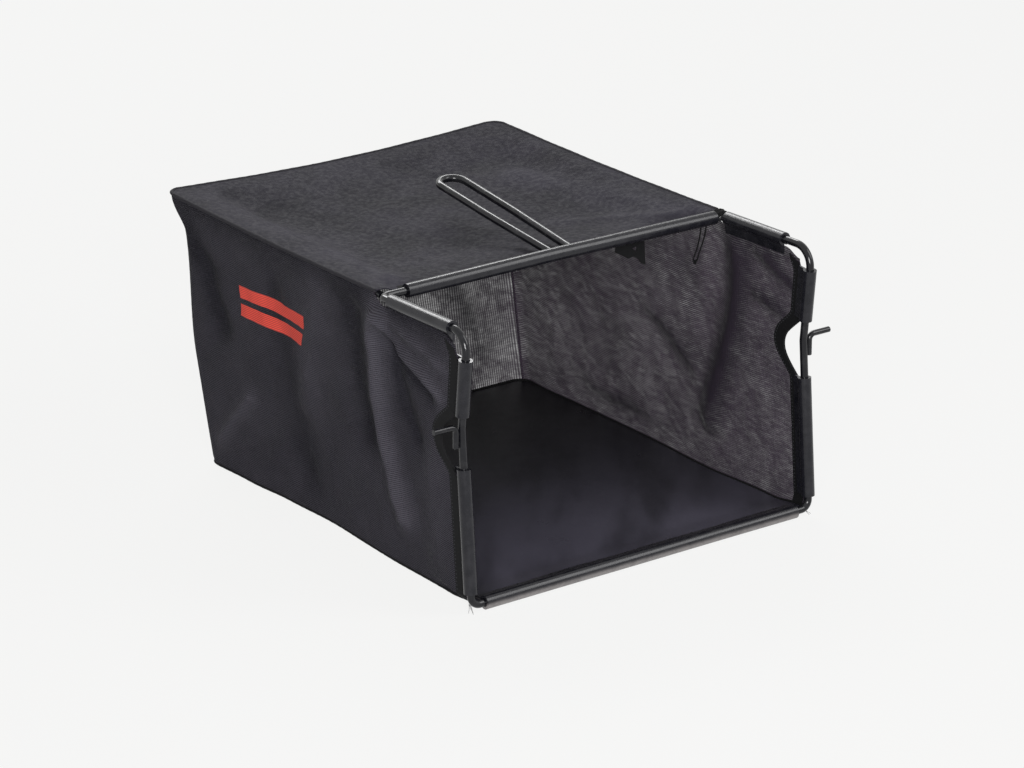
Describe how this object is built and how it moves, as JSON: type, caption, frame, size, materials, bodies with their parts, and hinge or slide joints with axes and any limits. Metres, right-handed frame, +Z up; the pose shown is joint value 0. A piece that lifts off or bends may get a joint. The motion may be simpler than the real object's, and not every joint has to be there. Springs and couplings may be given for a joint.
{
  "type": "grass catcher",
  "caption": "Cloth clippings bag on a bent wire frame, open at the mouth, with side hook pegs, a long wire handle and a coated floor.",
  "frame": {"origin": "under the middle of the floor sheet, on the surface that the bag stands on", "axes": "+X to the right along the mouth, +Y from the mouth back into the bag, +Z up"},
  "size_m": [0.4908, 0.5551, 0.3119],
  "materials": {
    "frame_paint": "gloss black paint on steel wire",
    "clip_plastic": "satin black plastic",
    "top_cloth": "dense dark grey woven cloth",
    "mesh_cloth": "dark grey open mesh cloth",
    "floor_sheet": "smooth coated black sheet",
    "trim": "black woven tape and thread"
  },
  "bodies": {
    "root": {"front_frame": "frame_paint", "rear_bow": "frame_paint", "carry_handle": "frame_paint", "left_hook": "frame_paint", "right_hook": "frame_paint", "crossbar_clip": "clip_plastic", "bottom_clip": "clip_plastic", "left_lower_clip": "clip_plastic", "left_upper_clip": "clip_plastic", "left_shoulder_clip": "clip_plastic", "right_lower_clip": "clip_plastic", "right_upper_clip": "clip_plastic", "right_shoulder_clip": "clip_plastic", "top_panel": "top_cloth", "left_side_panel": "mesh_cloth", "right_side_panel": "mesh_cloth", "rear_panel": "mesh_cloth", "floor_panel": "floor_sheet", "top_seam_binding": "trim", "floor_seam_binding": "trim", "left_rear_seam": "trim", "right_rear_seam": "trim", "left_cutout_binding": "trim", "right_cutout_binding": "trim", "tie_strap": "trim", "tie_cord": "trim"}
  },
  "joints": []
}
